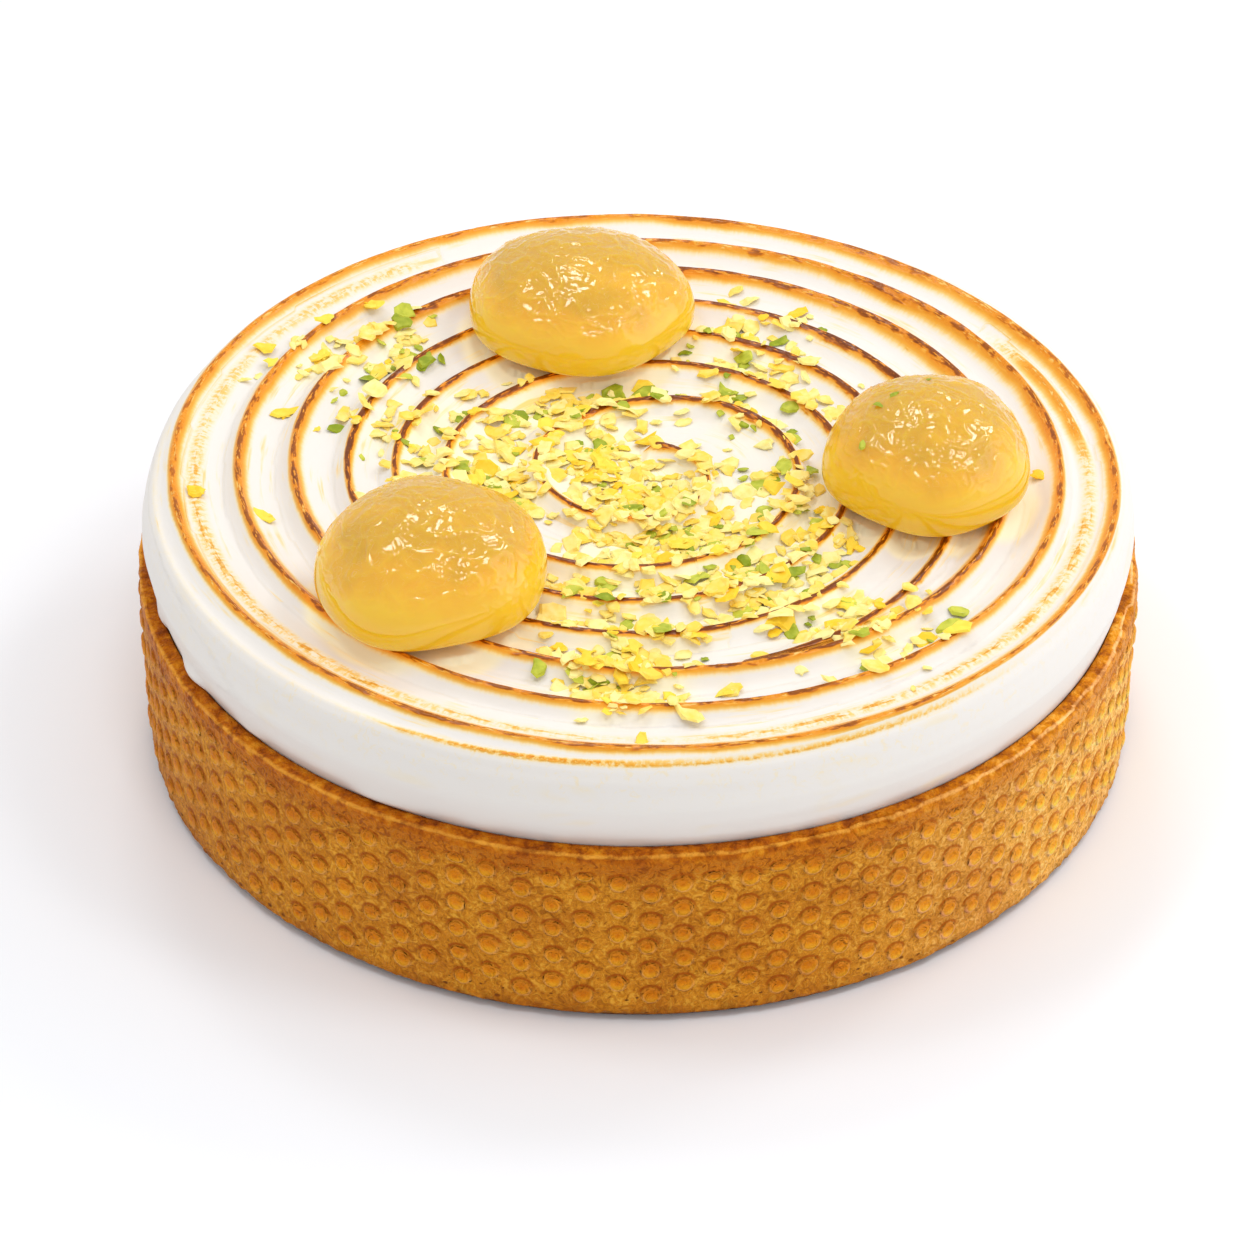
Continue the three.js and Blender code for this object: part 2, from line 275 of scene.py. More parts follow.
def makeShell(material):
    s = shell
    bm = bmesh.new()
    profile = [
        (0, 0),
        (s["radius"] - s["corner"], 0),
        (s["radius"], s["corner"]),
        (s["radius"], s["height"] - 3 * s["rimCorner"]),
        (s["radius"], s["height"] - s["rimCorner"]),
        (s["radius"] - s["rimCorner"], s["height"]),
        (s["radius"] - 3 * s["rimCorner"], s["height"]),
        (s["rimInner"], s["height"] - s["rimDrop"]),
        (s["rimInner"], s["height"] - s["seatDepth"]),
        (0, s["height"] - s["seatDepth"]),
    ]
    cuts = [0, 1, s["wallRows"], 0, 0, 0, 3, 1, 0]
    spinProfile(bm, profile, cuts, s["studColumns"] * s["stepsInColumn"])
    mesh = toMesh(bm, "crust_shell")
    points = meshPoints(mesh)
    angle = np.arctan2(points[:, 1], points[:, 0])
    reach = np.hypot(points[:, 0], points[:, 1])
    height = points[:, 2].copy()
    below = s["height"] - height  # from the top of the rim
    inside = s["radius"] - reach  # from the face of the wall
    along = (angle - math.radians(s["startAngle"])) % (2 * math.pi) * s["radius"]
    edge, lift, shade, above = nearestStud(along, height, np.random.default_rng(s["studSeed"]))

    # each stud is a low rounded button with a dimple where the dough stuck to the ring
    onWall = smoothStep(s["corner"] + 0.05, 0.02, inside)
    inRows = between(s["studBand"], height)
    button = s["cap"] * smoothStep(1.1, 0.4, edge) + s["bead"] * hump(edge, 0.8, 0.16)
    stud = lift * (button - s["dimple"] * hump(edge, 0, 0.3) * shade) - s["moat"] * hump(edge, 1.2, 0.14)
    stud *= s["studHeight"] * inRows

    ring = np.stack([np.cos(angle) * s["radius"], np.sin(angle) * s["radius"], height], axis=1)
    foot = smoothStep(*s["footFade"], height)
    underRim = smoothStep(*s["rimFade"], below)
    crumb = s["crumbs"] * noiseAt(ring, 0.7, 1, 2) + s["waves"] * noiseAt(ring, 2.5, 2)
    crumb += s["footCrumbs"] * foot * noiseAt(ring, 0.9, 3, 3)
    crumb += s["rimWrinkles"] * underRim * noiseAt(ring * (0.35, 0.35, 1.9), 1.2, 4, 3)
    outward = onWall * (stud + crumb)

    # the rim is lumpy on top, chipped along its outer edge, and broken off in blocks on one side
    onRim = smoothStep(1.6, 0.2, below) * smoothStep(1.8, 1.1, inside)
    nearEdge = smoothStep(0.9, 0.1, below) * smoothStep(1.1, 0.3, inside)
    chips = np.clip(noiseAt(ring, 1.5, 5), 0, 1) ** 0.8 + 0.6 * np.clip(noiseAt(ring, 0.6, 6), 0, 1)
    block = np.floor(along / s["blockLength"] + 0.3 * noiseAt(ring * (1, 1, 0), 5, 9)).astype(int)
    blockDepth = np.random.default_rng(s["blockSeed"]).uniform(0, 1, block.max() + 1) ** 1.5
    side = np.clip(1.6 * np.cos(angle - s["brokenSide"]) - 0.3, 0, 1)
    broken = s["blockStep"] * blockDepth[block] * side
    drop = (s["rimWear"] * chips + 0.7 * broken) * nearEdge
    uneven = s["rimWaves"] * noiseAt(ring, 12, 7) * smoothStep(4, 0, below) * smoothStep(2, 1.2, inside)
    lumps = s["rimLumps"] * noiseAt(points, 0.8, 10, 2) * onRim * smoothStep(0.5, 0, below)
    ragged = s["footChips"] * np.clip(noiseAt(ring, 1.6, 8, 2), 0, 1)
    ragged *= smoothStep(0.35, 0.1, np.abs(height - s["corner"]))
    grow = (reach + outward - 0.5 * drop - broken * onRim * onWall) / np.maximum(reach, 1e-6)
    points[:, 0] *= grow
    points[:, 1] *= grow
    points[:, 2] += uneven + lumps - drop + onWall * ragged * foot
    setPoints(mesh, points)
    addAttribute(mesh, "stud", np.stack([np.where(inRows * onWall > 0.3, edge, 3), above, shade], axis=1))
    addAttribute(mesh, "rimEdge", smoothStep(2 * s["rimCorner"], s["rimCorner"], np.hypot(inside, below)))
    finishPiece(mesh, material, "crust", "crust")


swirl = {
    "centre": (0.6, 1.3),
    "branchAngle": 285,
    # outside in: rise is the crest's height, toast how far the torch took it, dark how burnt it is
    "rings": [
        {"radius": 46.6, "east": -0.24, "north": -1.08, "oval": 0.75, "rise": 1.1, "toast": 1, "dark": 0.1},
        {"radius": 44.2, "east": -0.4, "north": -1.2, "oval": 0.62, "rise": 0.5, "toast": 0.45, "dark": 0},
        {"radius": 40.8, "east": 0.36, "north": -0.24, "oval": 0.62, "rise": 1.6, "toast": 1, "dark": 0.3},
        {"radius": 35.5, "east": 0.49, "north": 0.08, "oval": 0.63, "rise": 1.6, "toast": 1, "dark": 0.6},
    ],
    # the second ring is low and pale: in degrees along it, where it runs, where it is hardly toasted and
    # how wide that is, and where its burnt end begins
    "paleRing": 1,
    "paleFrom": 118,
    "paleRun": (0, 9, 262, 278),
    "paleFaint": (150, 22),
    "paleBurnt": (238, 250),
    "paleToast": 1.15,
    # its radius at each quarter turn
    "spiralRadii": [
        35.5, 30, 29.3, 29.6, 29.5, 24.7, 23.2, 25, 24.1, 19.3, 17, 20.1, 18.6, 14.2, 9.7, 11, 10.5, 3.6, 2,
    ],
    "spiralRise": 1.5,
    "spiralToast": 0.7,  # it is toasted less wide than the rings
    "spiralDark": 1.4,
    # width and curve of a ridge's flanks, towards the middle and away from it
    "innerFlank": 2.9,
    "innerSlope": 1.9,
    "outerFlank": 1.75,
    "outerSlope": 1.6,
    "crestRound": 0.16,
    # width of the toasted flanks, and what the flame added on each side of the tart
    "innerToast": 1.15,
    "outerToast": 0.55,
    "backToast": 0.2,
    "frontToast": 0.3,
    "warmSide": 32,
    "warmSpread": 26,
    "warmToast": 0.55,
}

meringue = {
    "side": [
        (46.9, 19.5), (48.2, 19.55), (48.34, 20.3), (48.65, 21.2), (49.3, 24.5), (48.95, 27), (48.5, 28.3),
        (47.95, 28.9),
    ],
    "sideRows": (1, 2, 2, 5, 4, 3, 2),
    "topRows": 162,
    "steps": 472,
    "floor": [(0, 28), (39, 28), (42.5, 28.35), (45.4, 28.75), (47.95, 28.9)],
    "topWaves": 0.05,
    "ridgeGrain": 0.03,
    "knifeBands": 0.1,
    "knifeWaves": 0.12,
    # heights of the smoothed side and of the lip that was squeezed out below it
    "knifed": (20.6, 22.5, 28, 28.9),
    "lip": (19.9, 20.2, 20.5, 21.6),
    # angles between which the lip bulges, and the side and the shoulder were flecked
    "bulging": (165, 190, 235, 262),
    "flecked": (175, 235, 300, 345),
    "licked": (234, 256, 296, 322),
    "lickWidth": 0.26,
    "mottleSize": 0.5,
    "curlSize": 0.9,
}


def ringRadius(ring, angle):
    shift = ring["east"] * np.cos(angle) + ring["north"] * np.sin(angle)
    return ring["radius"] + shift - ring["oval"] * np.sin(2 * angle)


def spiralRadius(quarters):
    # a smooth curve through the named radii
    radii = np.array(swirl["spiralRadii"])
    last = len(radii) - 1
    before = np.clip(np.floor(quarters).astype(int), 0, last - 1)
    t = quarters - before
    a, b, c, d = (radii[np.clip(before + k, 0, last)] for k in (-1, 0, 1, 2))
    return b + 0.5 * t * (c - a + t * (2 * a - 5 * b + 4 * c - d + t * (3 * (b - c) + d - a)))


def swirlAt(x, y):
    # height of the meringue's top, how far each point is from the nearest crest, where it is on that ridge,
    # and how the torch caught it: its distance from the crest as a share of the toasted width (less than 0
    # inside the ring), toast, dark
    s = swirl
    dx, dy = x - s["centre"][0], y - s["centre"][1]
    reach, angle = np.hypot(dx, dy), np.arctan2(dy, dx)
    degrees = np.degrees(angle)
    ridges = []
    for number, ring in enumerate(s["rings"]):
        rise, toast, dark = (np.full(len(x), float(ring[key])) for key in ("rise", "toast", "dark"))
        if number == s["paleRing"]:
            along = (degrees - s["paleFrom"]) % 360
            runs = between(s["paleRun"], along)
            burnt = smoothStep(*s["paleBurnt"], along) * runs
            runs *= 1 - 0.6 * hump(along, *s["paleFaint"])
            rise *= runs * (1 + 0.6 * burnt)
            toast = toast * runs + 0.5 * burnt
        ridges.append((ringRadius(ring, angle), rise, toast, dark))
    turn = (degrees - s["branchAngle"]) % 360 / 90
    last = len(s["spiralRadii"]) - 1
    for lap in range(math.ceil(last / 4)):
        quarters = turn + 4 * lap
        runs = smoothStep(last, last - 0.6, quarters)
        radius = spiralRadius(np.minimum(quarters, last))
        ridges.append((radius, s["spiralRise"] * runs, runs, s["spiralDark"] * runs))
    # the flame came from the back right, so the toasted flank is widest there, and wide outside at the front
    warm = hump((degrees - s["warmSide"] + 180) % 360 - 180, 0, s["warmSpread"])
    inner = s["innerToast"] + s["backToast"] * np.clip(np.sin(angle), 0, 1) + s["warmToast"] * warm
    behind = np.clip(np.sin(angle + 0.35), 0, 1)
    outer = s["outerToast"] * (1 - 0.5 * behind) + s["frontToast"] * np.clip(-np.sin(angle), 0, 1)
    lift = np.zeros(len(x))
    torch = np.zeros((len(x), 3))
    ridge = np.zeros((len(x), 3))
    nearest = np.full(len(x), 99.0)
    gap = np.zeros(len(x))
    for number, (radius, rise, toast, dark) in enumerate(ridges):
        offset = reach - radius
        inside = offset < 0
        flank = np.where(inside, s["innerFlank"], s["outerFlank"])
        away = np.sqrt(offset**2 + s["crestRound"] ** 2) - s["crestRound"]
        slope = np.clip(1 - away / flank, 0, 1) ** np.where(inside, s["innerSlope"], s["outerSlope"])
        lift = np.maximum(lift, rise * slope)
        width = np.where(inside, inner, outer) * (1 if number < len(s["rings"]) else s["spiralToast"])
        if number == s["paleRing"]:
            width = s["paleToast"] + (width - s["paleToast"]) * burnt
        share = offset / width
        closer = (np.abs(share) < nearest) & (toast > 0.02)
        nearest = np.where(closer, np.abs(share), nearest)
        gap = np.where(closer, offset, gap)
        burn = dark + 0.2 * np.clip(-np.sin(angle), 0, 1) * toast
        torch[closer] = np.stack([share, toast, burn], axis=1)[closer]
        across = 9 * number + offset  # so far apart that no two ridges share a pattern
        ridge[closer] = np.stack([radius * np.cos(angle), radius * np.sin(angle), across], axis=1)[closer]
    level = np.interp(np.hypot(x, y), *zip(*meringue["floor"]))
    return level + lift, gap, ridge, torch


def topHeight(x, y):
    height = swirlAt(x, y)[0]
    for dome in domes:
        under, share = gelUnderside(dome, x, y)
        height = np.where(share < 1, np.minimum(height, under), height)
    return height


def juiceAt(x, y):
    # where lemon juice has soaked in, under the zest and round the domes, and where the meringue is painted
    # brighter, as painted light against their shade
    wet = np.zeros(len(x))
    for heapX, heapY, spread, bits in zest["heaps"]:
        away = ((x - heapX) ** 2 + (y - heapY) ** 2) / (1.5 * spread) ** 2
        wet += bits[0] / (5 * spread**2) * np.exp(-away)
    for dome in domes:
        wet += 0.9 * smoothStep(1.2, 0.98, domeShare(dome, x, y))
    return np.clip(wet, 0, 1)


def makeMeringue(material):
    m = meringue
    bm = bmesh.new()
    top = m["side"][-1]
    profile = [(0, m["side"][0][1]), *m["side"], (0, top[1])]
    spinProfile(bm, profile, [0, *m["sideRows"], m["topRows"]], m["steps"])
    mesh = toMesh(bm, "meringue_swirl")
    points = meshPoints(mesh)
    reach = np.hypot(points[:, 0], points[:, 1])
    angle = np.degrees(np.arctan2(points[:, 1], points[:, 0])) % 360
    onTop = (points[:, 2] > top[1] - 0.01) & (reach < top[0] - 0.01)
    # points near a crest are drawn onto it, so that the crest runs smoothly
    x, y, z = points.T.copy()
    gap = swirlAt(x, y)[1]
    row = top[0] / m["topRows"]
    drawn = np.where(onTop & (np.abs(gap) < row / 2), gap, 0) / np.maximum(reach, 1)
    x -= drawn * (x - swirl["centre"][0])
    y -= drawn * (y - swirl["centre"][1])
    height, _, ridge, torch = swirlAt(x, y)
    for dome in domes:
        under, share = gelUnderside(dome, x, y)
        packed = np.maximum(height, dome["z"] - dome["below"])  # meringue fills the groove under a dome
        height = np.where(share < 0.9, packed, height)
        height = np.where(share < 1, np.minimum(height, under), height)
    flat = np.stack([x, y, 0 * x], axis=1)
    height += m["topWaves"] * noiseAt(flat, 3.5, 1)
    height += m["ridgeGrain"] * noiseAt(ridge * (1, 1, 0.5), 0.9, 2)
    points = np.stack([x, y, np.where(onTop, height, z)], axis=1)

    # the side was smoothed with a palette knife, which left faint level bands and a ragged lip below
    onSide = ~onTop & (reach > m["side"][0][0] - 0.01)
    bands = m["knifeBands"] * noiseAt(points * (0.06, 0.06, 1.3), 1.5, 3, 2)
    bands += m["knifeWaves"] * noiseAt(points * (1, 1, 0.3), 9, 4)
    squeezed = np.clip(noiseAt(points * (1, 1, 0.15), 6, 5) + 0.1, 0, 1)
    lip = between(m["lip"], z) * squeezed * (0.1 + 0.9 * between(m["bulging"], angle))
    push = np.where(onSide, bands * between(m["knifed"], z) + lip, 0)
    grow = (reach + push) / np.maximum(reach, 1e-6)
    points[:, 0] *= grow
    points[:, 1] *= grow
    setPoints(mesh, points)

    # the torch also licked the shoulder, and flecked the side below it, most of all at the front
    fromShoulder = np.hypot(reach - top[0] + 0.2, points[:, 2] - top[1])
    shoulder = hump(fromShoulder, 0, m["lickWidth"]) * (0.08 + 0.92 * between(m["licked"], angle))
    flecks = onSide * smoothStep(23.5, 28.2, z) * (0.15 + 0.85 * between(m["flecked"], angle))
    torch[~onTop] = (3, 0, 0)
    addAttribute(mesh, "torch", torch)
    addAttribute(mesh, "torchGap", np.abs(torch[:, 0]))
    addAttribute(mesh, "ridge", ridge * mm)
    addAttribute(mesh, "wear", np.stack([shoulder, flecks, juiceAt(x, y) * onTop], axis=1))
    finishPiece(mesh, material, "meringue", "meringue")


# above and below are heights from where a dome is widest, which is at z
domes = [
    {"name": "front", "x": -19.7, "y": -22.2, "z": 31.7, "width": 21.8, "above": 8, "below": 3.1, "seed": 3},
    {"name": "back", "x": -6, "y": 25.5, "z": 31.3, "width": 23.1, "above": 7, "below": 2.7, "seed": 8},
    {"name": "right", "x": 28.3, "y": -3.9, "z": 31.7, "width": 20.7, "above": 7.8, "below": 3.1, "seed": 5},
]

jelly = {
    "fineness": 7,
    "lobes": (2, 3, 5),
    "lobeDepth": 0.02,  # as a share of the radius
    "creases": 0.13,
    "fineCreases": 0.08,
    "sag": 0.06,
    "cloudSize": 5,
    "lineSize": 1.6,
}


def domeShare(dome, x, y):
    return np.hypot(x - dome["x"], y - dome["y"]) / (dome["width"] / 2)


def footReach(dome, drop):
    # how wide the dome is below its widest part, both as shares: it goes on curving as it did above,
    # then turns in to a foot that is nearly flat
    above = drop * dome["below"] / dome["above"]
    return np.sqrt((1 - above**2) * (1 - drop**4))


def gelUnderside(dome, x, y):
    # height of the dome's underside above each point, and how near its middle the point is
    share = domeShare(dome, x, y)
    drop = np.linspace(1, 0, 90)
    return dome["z"] - dome["below"] * np.interp(share, footReach(dome, drop), drop), share


def makeJelly(dome, material):
    bm = bmesh.new()
    bmesh.ops.create_icosphere(bm, subdivisions=jelly["fineness"], radius=1)
    mesh = toMesh(bm, "gel_" + dome["name"])
    unit = meshPoints(mesh)
    x, y, z = unit.T
    angle = np.arctan2(y, x)
    seed = dome["seed"]
    random = np.random.default_rng(seed)
    lobes = sum(np.sin(count * angle + random.uniform(0, 2 * math.pi)) for count in jelly["lobes"])
    size = dome["width"] / 2
    radius = size * (1 + jelly["lobeDepth"] * lobes)
    drop = np.clip(-z, 0, 1) ** 0.6
    radius *= np.where(z < 0, footReach(dome, drop) / np.maximum(np.hypot(x, y), 1e-6), 1)
    height = np.where(z > 0, dome["above"] * z, -dome["below"] * drop)
    # a thin skin has set on the top and wrinkled
    ball = unit * size
    skin = smoothStep(0.15, 0.6, z + 0.25 * noiseAt(ball, 7, seed))
    swirled = ball + 1.2 * np.stack([noiseAt(ball, 3, seed + k) for k in (5, 6, 7)], axis=1)
    crease = np.clip(1 - 3 * np.abs(noiseAt(swirled, 2.2, seed + 1)), 0, 1)
    fine = np.clip(1 - 3 * np.abs(noiseAt(swirled, 0.9, seed + 2)), 0, 1)
    wrinkle = skin * (jelly["creases"] * crease**2 + jelly["fineCreases"] * fine**2)
    wrinkle += jelly["sag"] * noiseAt(ball, 5, seed + 3)
    points = np.stack([radius * x, radius * y, height], axis=1) + wrinkle[:, None] * unit
    setPoints(mesh, points + (dome["x"], dome["y"], dome["z"]))
    addAttribute(mesh, "skin", smoothStep(-0.3, 0.9, z))
    finishPiece(mesh, material, "gel", "gel_dome_" + dome["name"])


zest = {
    "kinds": [
        {
            "name": "zest_pale",
            "slot": "zest_yellow",
            "peel": "paleLemonPeel",
            "colours": ("#FFF2A0", "#FFDA50"),
            "seed": 1,
            "growth": 1.0,
        },
        {
            "name": "zest_bright",
            "slot": "zest_yellow",
            "peel": "lemonPeel",
            "colours": ("#FFE654", "#FFCE28"),
            "seed": 2,
            "growth": 1.15,
            # these fell outside the heaps, three at each place
            "loose": [
                (-28.1, 29.4), (-35.8, 10.3), (-32.8, 20.6), (-43.5, -4.9), (-36.4, -8.3), (39.7, -1.1),
            ],
        },
        {
            "name": "zest_lime",
            "slot": "zest_green",
            "peel": "limePeel",
            "colours": ("#D0D44C", "#8A9C18"),
            "seed": 3,
            "growth": 1.05,
            # and these stick to the right dome
            "stuck": [(30, 3), (28.3, 0), (24.8, -3), (23.4, -4), (21.6, -8)],
        },
    ],
    # x, y and spread of each heap, and how many bits of each kind are in it
    "heaps": [
        (0.5, -4.5, 3.2, (130, 10, 4)),
        (-4, 2, 2.4, (44, 12, 2)),
        (1, -11, 3.4, (110, 12, 8)),
        (-6, 8, 3, (26, 3, 16)),
        (-6, 13.5, 4.2, (80, 12, 8)),
        (-14, -2, 3.5, (100, 12, 8)),
        (-5, -21, 4.6, (80, 6, 10)),
        (8, -15.5, 3.4, (66, 6, 18)),
        (12, -21, 3.4, (64, 6, 16)),
        (-1.5, -35.5, 3.3, (96, 14, 10)),
        (1, -28.5, 5, (44, 4, 8)),
        (18, -9.5, 3, (60, 12, 10)),
        (21, -27, 3.6, (54, 8, 8)),
        (11, -3, 4.4, (36, 2, 14)),
        (11, 12, 5, (66, 6, 14)),
        (12, 24, 4.4, (40, 6, 8)),
        (-21, 7, 5.4, (76, 6, 14)),
        (-25, 22, 3.2, (34, 4, 16)),
        (-33, 19, 2.6, (24, 2, 0)),
    ],
    "length": (1.0, 3.1),
    # shares of the length: the stuck bits', a bit's width, its thickness and how much that varies
    "stuckLength": 0.65,
    "width": (0.5, 0.95),
    "thickness": 0.07,
    "stoutness": (0.7, 1.2),
    "corners": (7, 11),
    "templates": 16,
    "ragged": 0.3,
    "taper": 0.8,
    "bumps": 0.03,
    "curl": 0.6,
    "tilt": 0.2,
    "lift": (0.07, 0.2),  # of a flake's middle above what it lies on
    "sunk": 0.12,  # how far the stuck ones have sunk into the skin
    "pithSize": 0.9,
}


def zestTemplate(random):
    # a flake of peel one long: a ragged outline with a little thickness, curled a little
    bm = bmesh.new()
    fewest, most = zest["corners"]
    corners = int(random.integers(fewest, most + 1))
    outline = bmesh.ops.create_circle(bm, cap_ends=True, segments=corners, radius=0.5)["verts"]
    for vert in outline:
        vert.co *= 1 - zest["ragged"] * random.uniform(-0.6, 1.6)
    raised = bmesh.ops.extrude_face_region(bm, geom=bm.faces[:])["geom"]
    upper = [v for v in raised if isinstance(v, bmesh.types.BMVert)]
    bmesh.ops.translate(bm, verts=upper, vec=(0, 0, zest["thickness"]))
    bmesh.ops.scale(bm, verts=upper, vec=(zest["taper"], zest["taper"], 1))
    curl = random.uniform(-zest["curl"], zest["curl"])
    for vert in bm.verts:
        vert.co.z += curl * vert.co.x**2 + zest["bumps"] * random.uniform(-1, 1)
    bmesh.ops.triangulate(bm, faces=bm.faces)
    bmesh.ops.recalc_face_normals(bm, faces=bm.faces)
    mesh = bpy.data.meshes.new("zestTemplate")
    bm.to_mesh(mesh)
    bm.free()
    return mesh


def makeZest(number, kind, material):
    random = np.random.default_rng(kind["seed"])
    templates = [zestTemplate(random) for _ in range(zest["templates"])]
    places = []
    for heapX, heapY, spread, bits in zest["heaps"]:
        for _ in range(bits[number]):
            drift = random.normal(0, spread, 2)
            places.append((heapX + drift[0], heapY + drift[1]))
    places += 3 * kind.get("loose", [])
    x, y = np.array(places + kind.get("stuck", [])).T
    stuck = np.arange(len(x)) >= len(places)
    # what would lie on a dome is left out, apart from the bits that are meant to stick there
    ground = topHeight(x, y)
    for dome in domes:
        share = domeShare(dome, x, y)
        skin = dome["z"] + dome["above"] * np.sqrt(np.clip(1 - share**2, 0, 1)) - zest["sunk"]
        ground = np.where(share < 0.97, np.where(stuck, skin, np.nan), ground)
    bm = bmesh.new()
    toneLayer = bm.verts.layers.float.new("tone")
    for i in np.flatnonzero(~np.isnan(ground)):
        start = len(bm.verts)
        bm.from_mesh(templates[int(random.integers(len(templates)))])
        bm.verts.ensure_lookup_table()
        flake = bm.verts[start:]
        length = kind["growth"] * random.uniform(*zest["length"]) * (zest["stuckLength"] if stuck[i] else 1)
        width = length * random.uniform(*zest["width"])
        stretch = Matrix.Diagonal((length, width, length * random.uniform(*zest["stoutness"]), 1))
        turn = Euler((random.normal(0, zest["tilt"]), random.normal(0, zest["tilt"]), random.uniform(0, 6.3)))
        place = Matrix.Translation((x[i], y[i], ground[i] + random.uniform(*zest["lift"])))
        bmesh.ops.transform(bm, matrix=place @ turn.to_matrix().to_4x4() @ stretch, verts=flake)
        tone = random.uniform()
        for vert in flake:
            vert[toneLayer] = tone
    mesh = bpy.data.meshes.new(kind["name"])
    bm.to_mesh(mesh)
    bm.free()
    for template in templates:
        bpy.data.meshes.remove(template)
    finishPiece(mesh, material, kind["slot"])


def shortcrustMaterial():
    # shortcrust baked in a perforated ring: golden wrinkled crumb with a buttery sheen, more orange on each
    # stud, painted shade over it and a painted highlight round its lower half, browner along the rim
    finish = {"Roughness": 0.5, "IOR": 1.45, "Specular IOR Level": 0.12}
    material, tree, surface = newMaterial("bakedShortcrust", finish)
    place = addNode(tree, "TexCoord", output=3)
    east, _, up = addNode(tree, "SeparateXYZ", [place], slice(0, 3))
    stud = addNode(tree, "Attribute", output=1, attribute_name="stud")
    edge, above, tone = addNode(tree, "SeparateXYZ", [stud], slice(0, 3))
    rimEdge = addNode(tree, "Attribute", output=2, attribute_name="rimEdge")
    crumb = {"Vector": place, "Scale": perMetre(shell["crumbSize"]), "Detail": 4, "Roughness": 0.6}
    grain = addNode(tree, "TexNoise", crumb)
    folds = {"Vector": place, "Scale": perMetre(shell["wrinkleSize"]), "Roughness": 0.5, "Distortion": 1.6}
    wrinkle = addNode(tree, "TexNoise", folds)
    clumps = {"Vector": place, "Scale": perMetre(shell["clumpSize"]), "Detail": 4, "Roughness": 0.65}
    clump = addNode(tree, "TexNoise", clumps)
    patches = {"Vector": place, "Scale": perMetre(shell["patchSize"])}
    slow = addNode(tree, "TexNoise", patches)
    # light and dark stops follow one another, so that the noise draws fine wrinkles
    body = addNode(
        tree,
        "ValToRGB",
        [wrinkle],
        ramp=[
            (0.34, "#C07A1A"),
            (0.42, "#E29726"),
            (0.46, "#D0861E"),
            (0.51, "#F4A936"),
            (0.55, "#DA8E20"),
            (0.62, "#F8B646"),
        ],
    )
    grains = [(0.34, "#C8B49A"), (0.45, "#F4ECE0"), (0.56, "#FFFFFF"), (0.7, "#FFFBEE")]
    grained = addNode(tree, "ValToRGB", [grain], ramp=grains)
    crumbed = addNode(tree, "Mix", {0: 0.55, 6: body, 7: grained}, 2, data_type="RGBA", blend_type="MULTIPLY")

    # each stud is painted browner towards its top and lighter towards its bottom: painted shade and light
    onCap = addNode(tree, "MapRange", [edge, 1.02, 0.84, 0, 0.78], **soft)
    upper = addNode(tree, "MapRange", [above, 0, 0.95, 0, 0.7], **soft)
    shadedCap = addNode(tree, "Math", [upper, onCap], operation="MULTIPLY")
    lower = addNode(tree, "MapRange", [above, 0.1, -0.9, 0, 0.6], **soft)
    litCap = addNode(tree, "Math", [lower, onCap], operation="MULTIPLY")
    # a brown crescent of painted shade over it; a painted highlight round its lower half, on the bead's crest
    half = addNode(tree, "Math", [edge, 0.5], operation="MULTIPLY")
    overStud = addNode(tree, "MapRange", [above, -0.15, 0.7, 0, 0.85], **soft)
    outside = [(0.46, "#000000"), (0.53, "#FFFFFF"), (0.58, "#FFFFFF"), (0.68, "#000000")]
    shadeCrescent = addNode(tree, "ValToRGB", [half], ramp=outside)
    browned = addNode(tree, "Math", [overStud, shadeCrescent], operation="MULTIPLY")
    underStud = addNode(tree, "MapRange", [above, 0.5, -0.45, 0.15, 0.95], **soft)
    onBead = [(0.31, "#000000"), (0.37, "#FFFFFF"), (0.46, "#FFFFFF"), (0.51, "#000000")]
    line = addNode(tree, "ValToRGB", [half], ramp=onBead)
    highlightGaps = addNode(tree, "MapRange", [grain, 0.36, 0.5, 0.75, 1])
    highlightMask = addNode(tree, "Math", [underStud, line], operation="MULTIPLY")
    paintedHighlight = addNode(tree, "Math", [highlightMask, highlightGaps], operation="MULTIPLY")
    litSide = addNode(tree, "MapRange", [east, 15 * mm, 50 * mm, 0, 1], **soft)
    highlightTints = {0: litSide, 6: linearColour("#FFBA6C"), 7: linearColour("#FFA23C")}
    highlightColour = addNode(tree, "Mix", highlightTints, 2, data_type="RGBA")
    nip = addNode(tree, "MapRange", [edge, 0.42, 0.12, 0, 0.8], **soft)
    nipped = addNode(tree, "Math", [nip, tone], operation="MULTIPLY")
    # pits, many more of them along the bottom edge
    stretched = addNode(tree, "VectorMath", [place, (1, 1, 1.7)], operation="MULTIPLY")
    pits = addNode(tree, "TexVoronoi", {"Vector": stretched, "Scale": perMetre(shell["pitSpacing"])})
    pitReach = addNode(tree, "MapRange", [up, 1.2 * mm, 4.5 * mm, 0.22, 0.02])
    inPit = addNode(tree, "Math", [pitReach, pits], operation="SUBTRACT")
    pit = addNode(tree, "MapRange", [inPit, 0, 0.06, 0, 0.8], **soft)
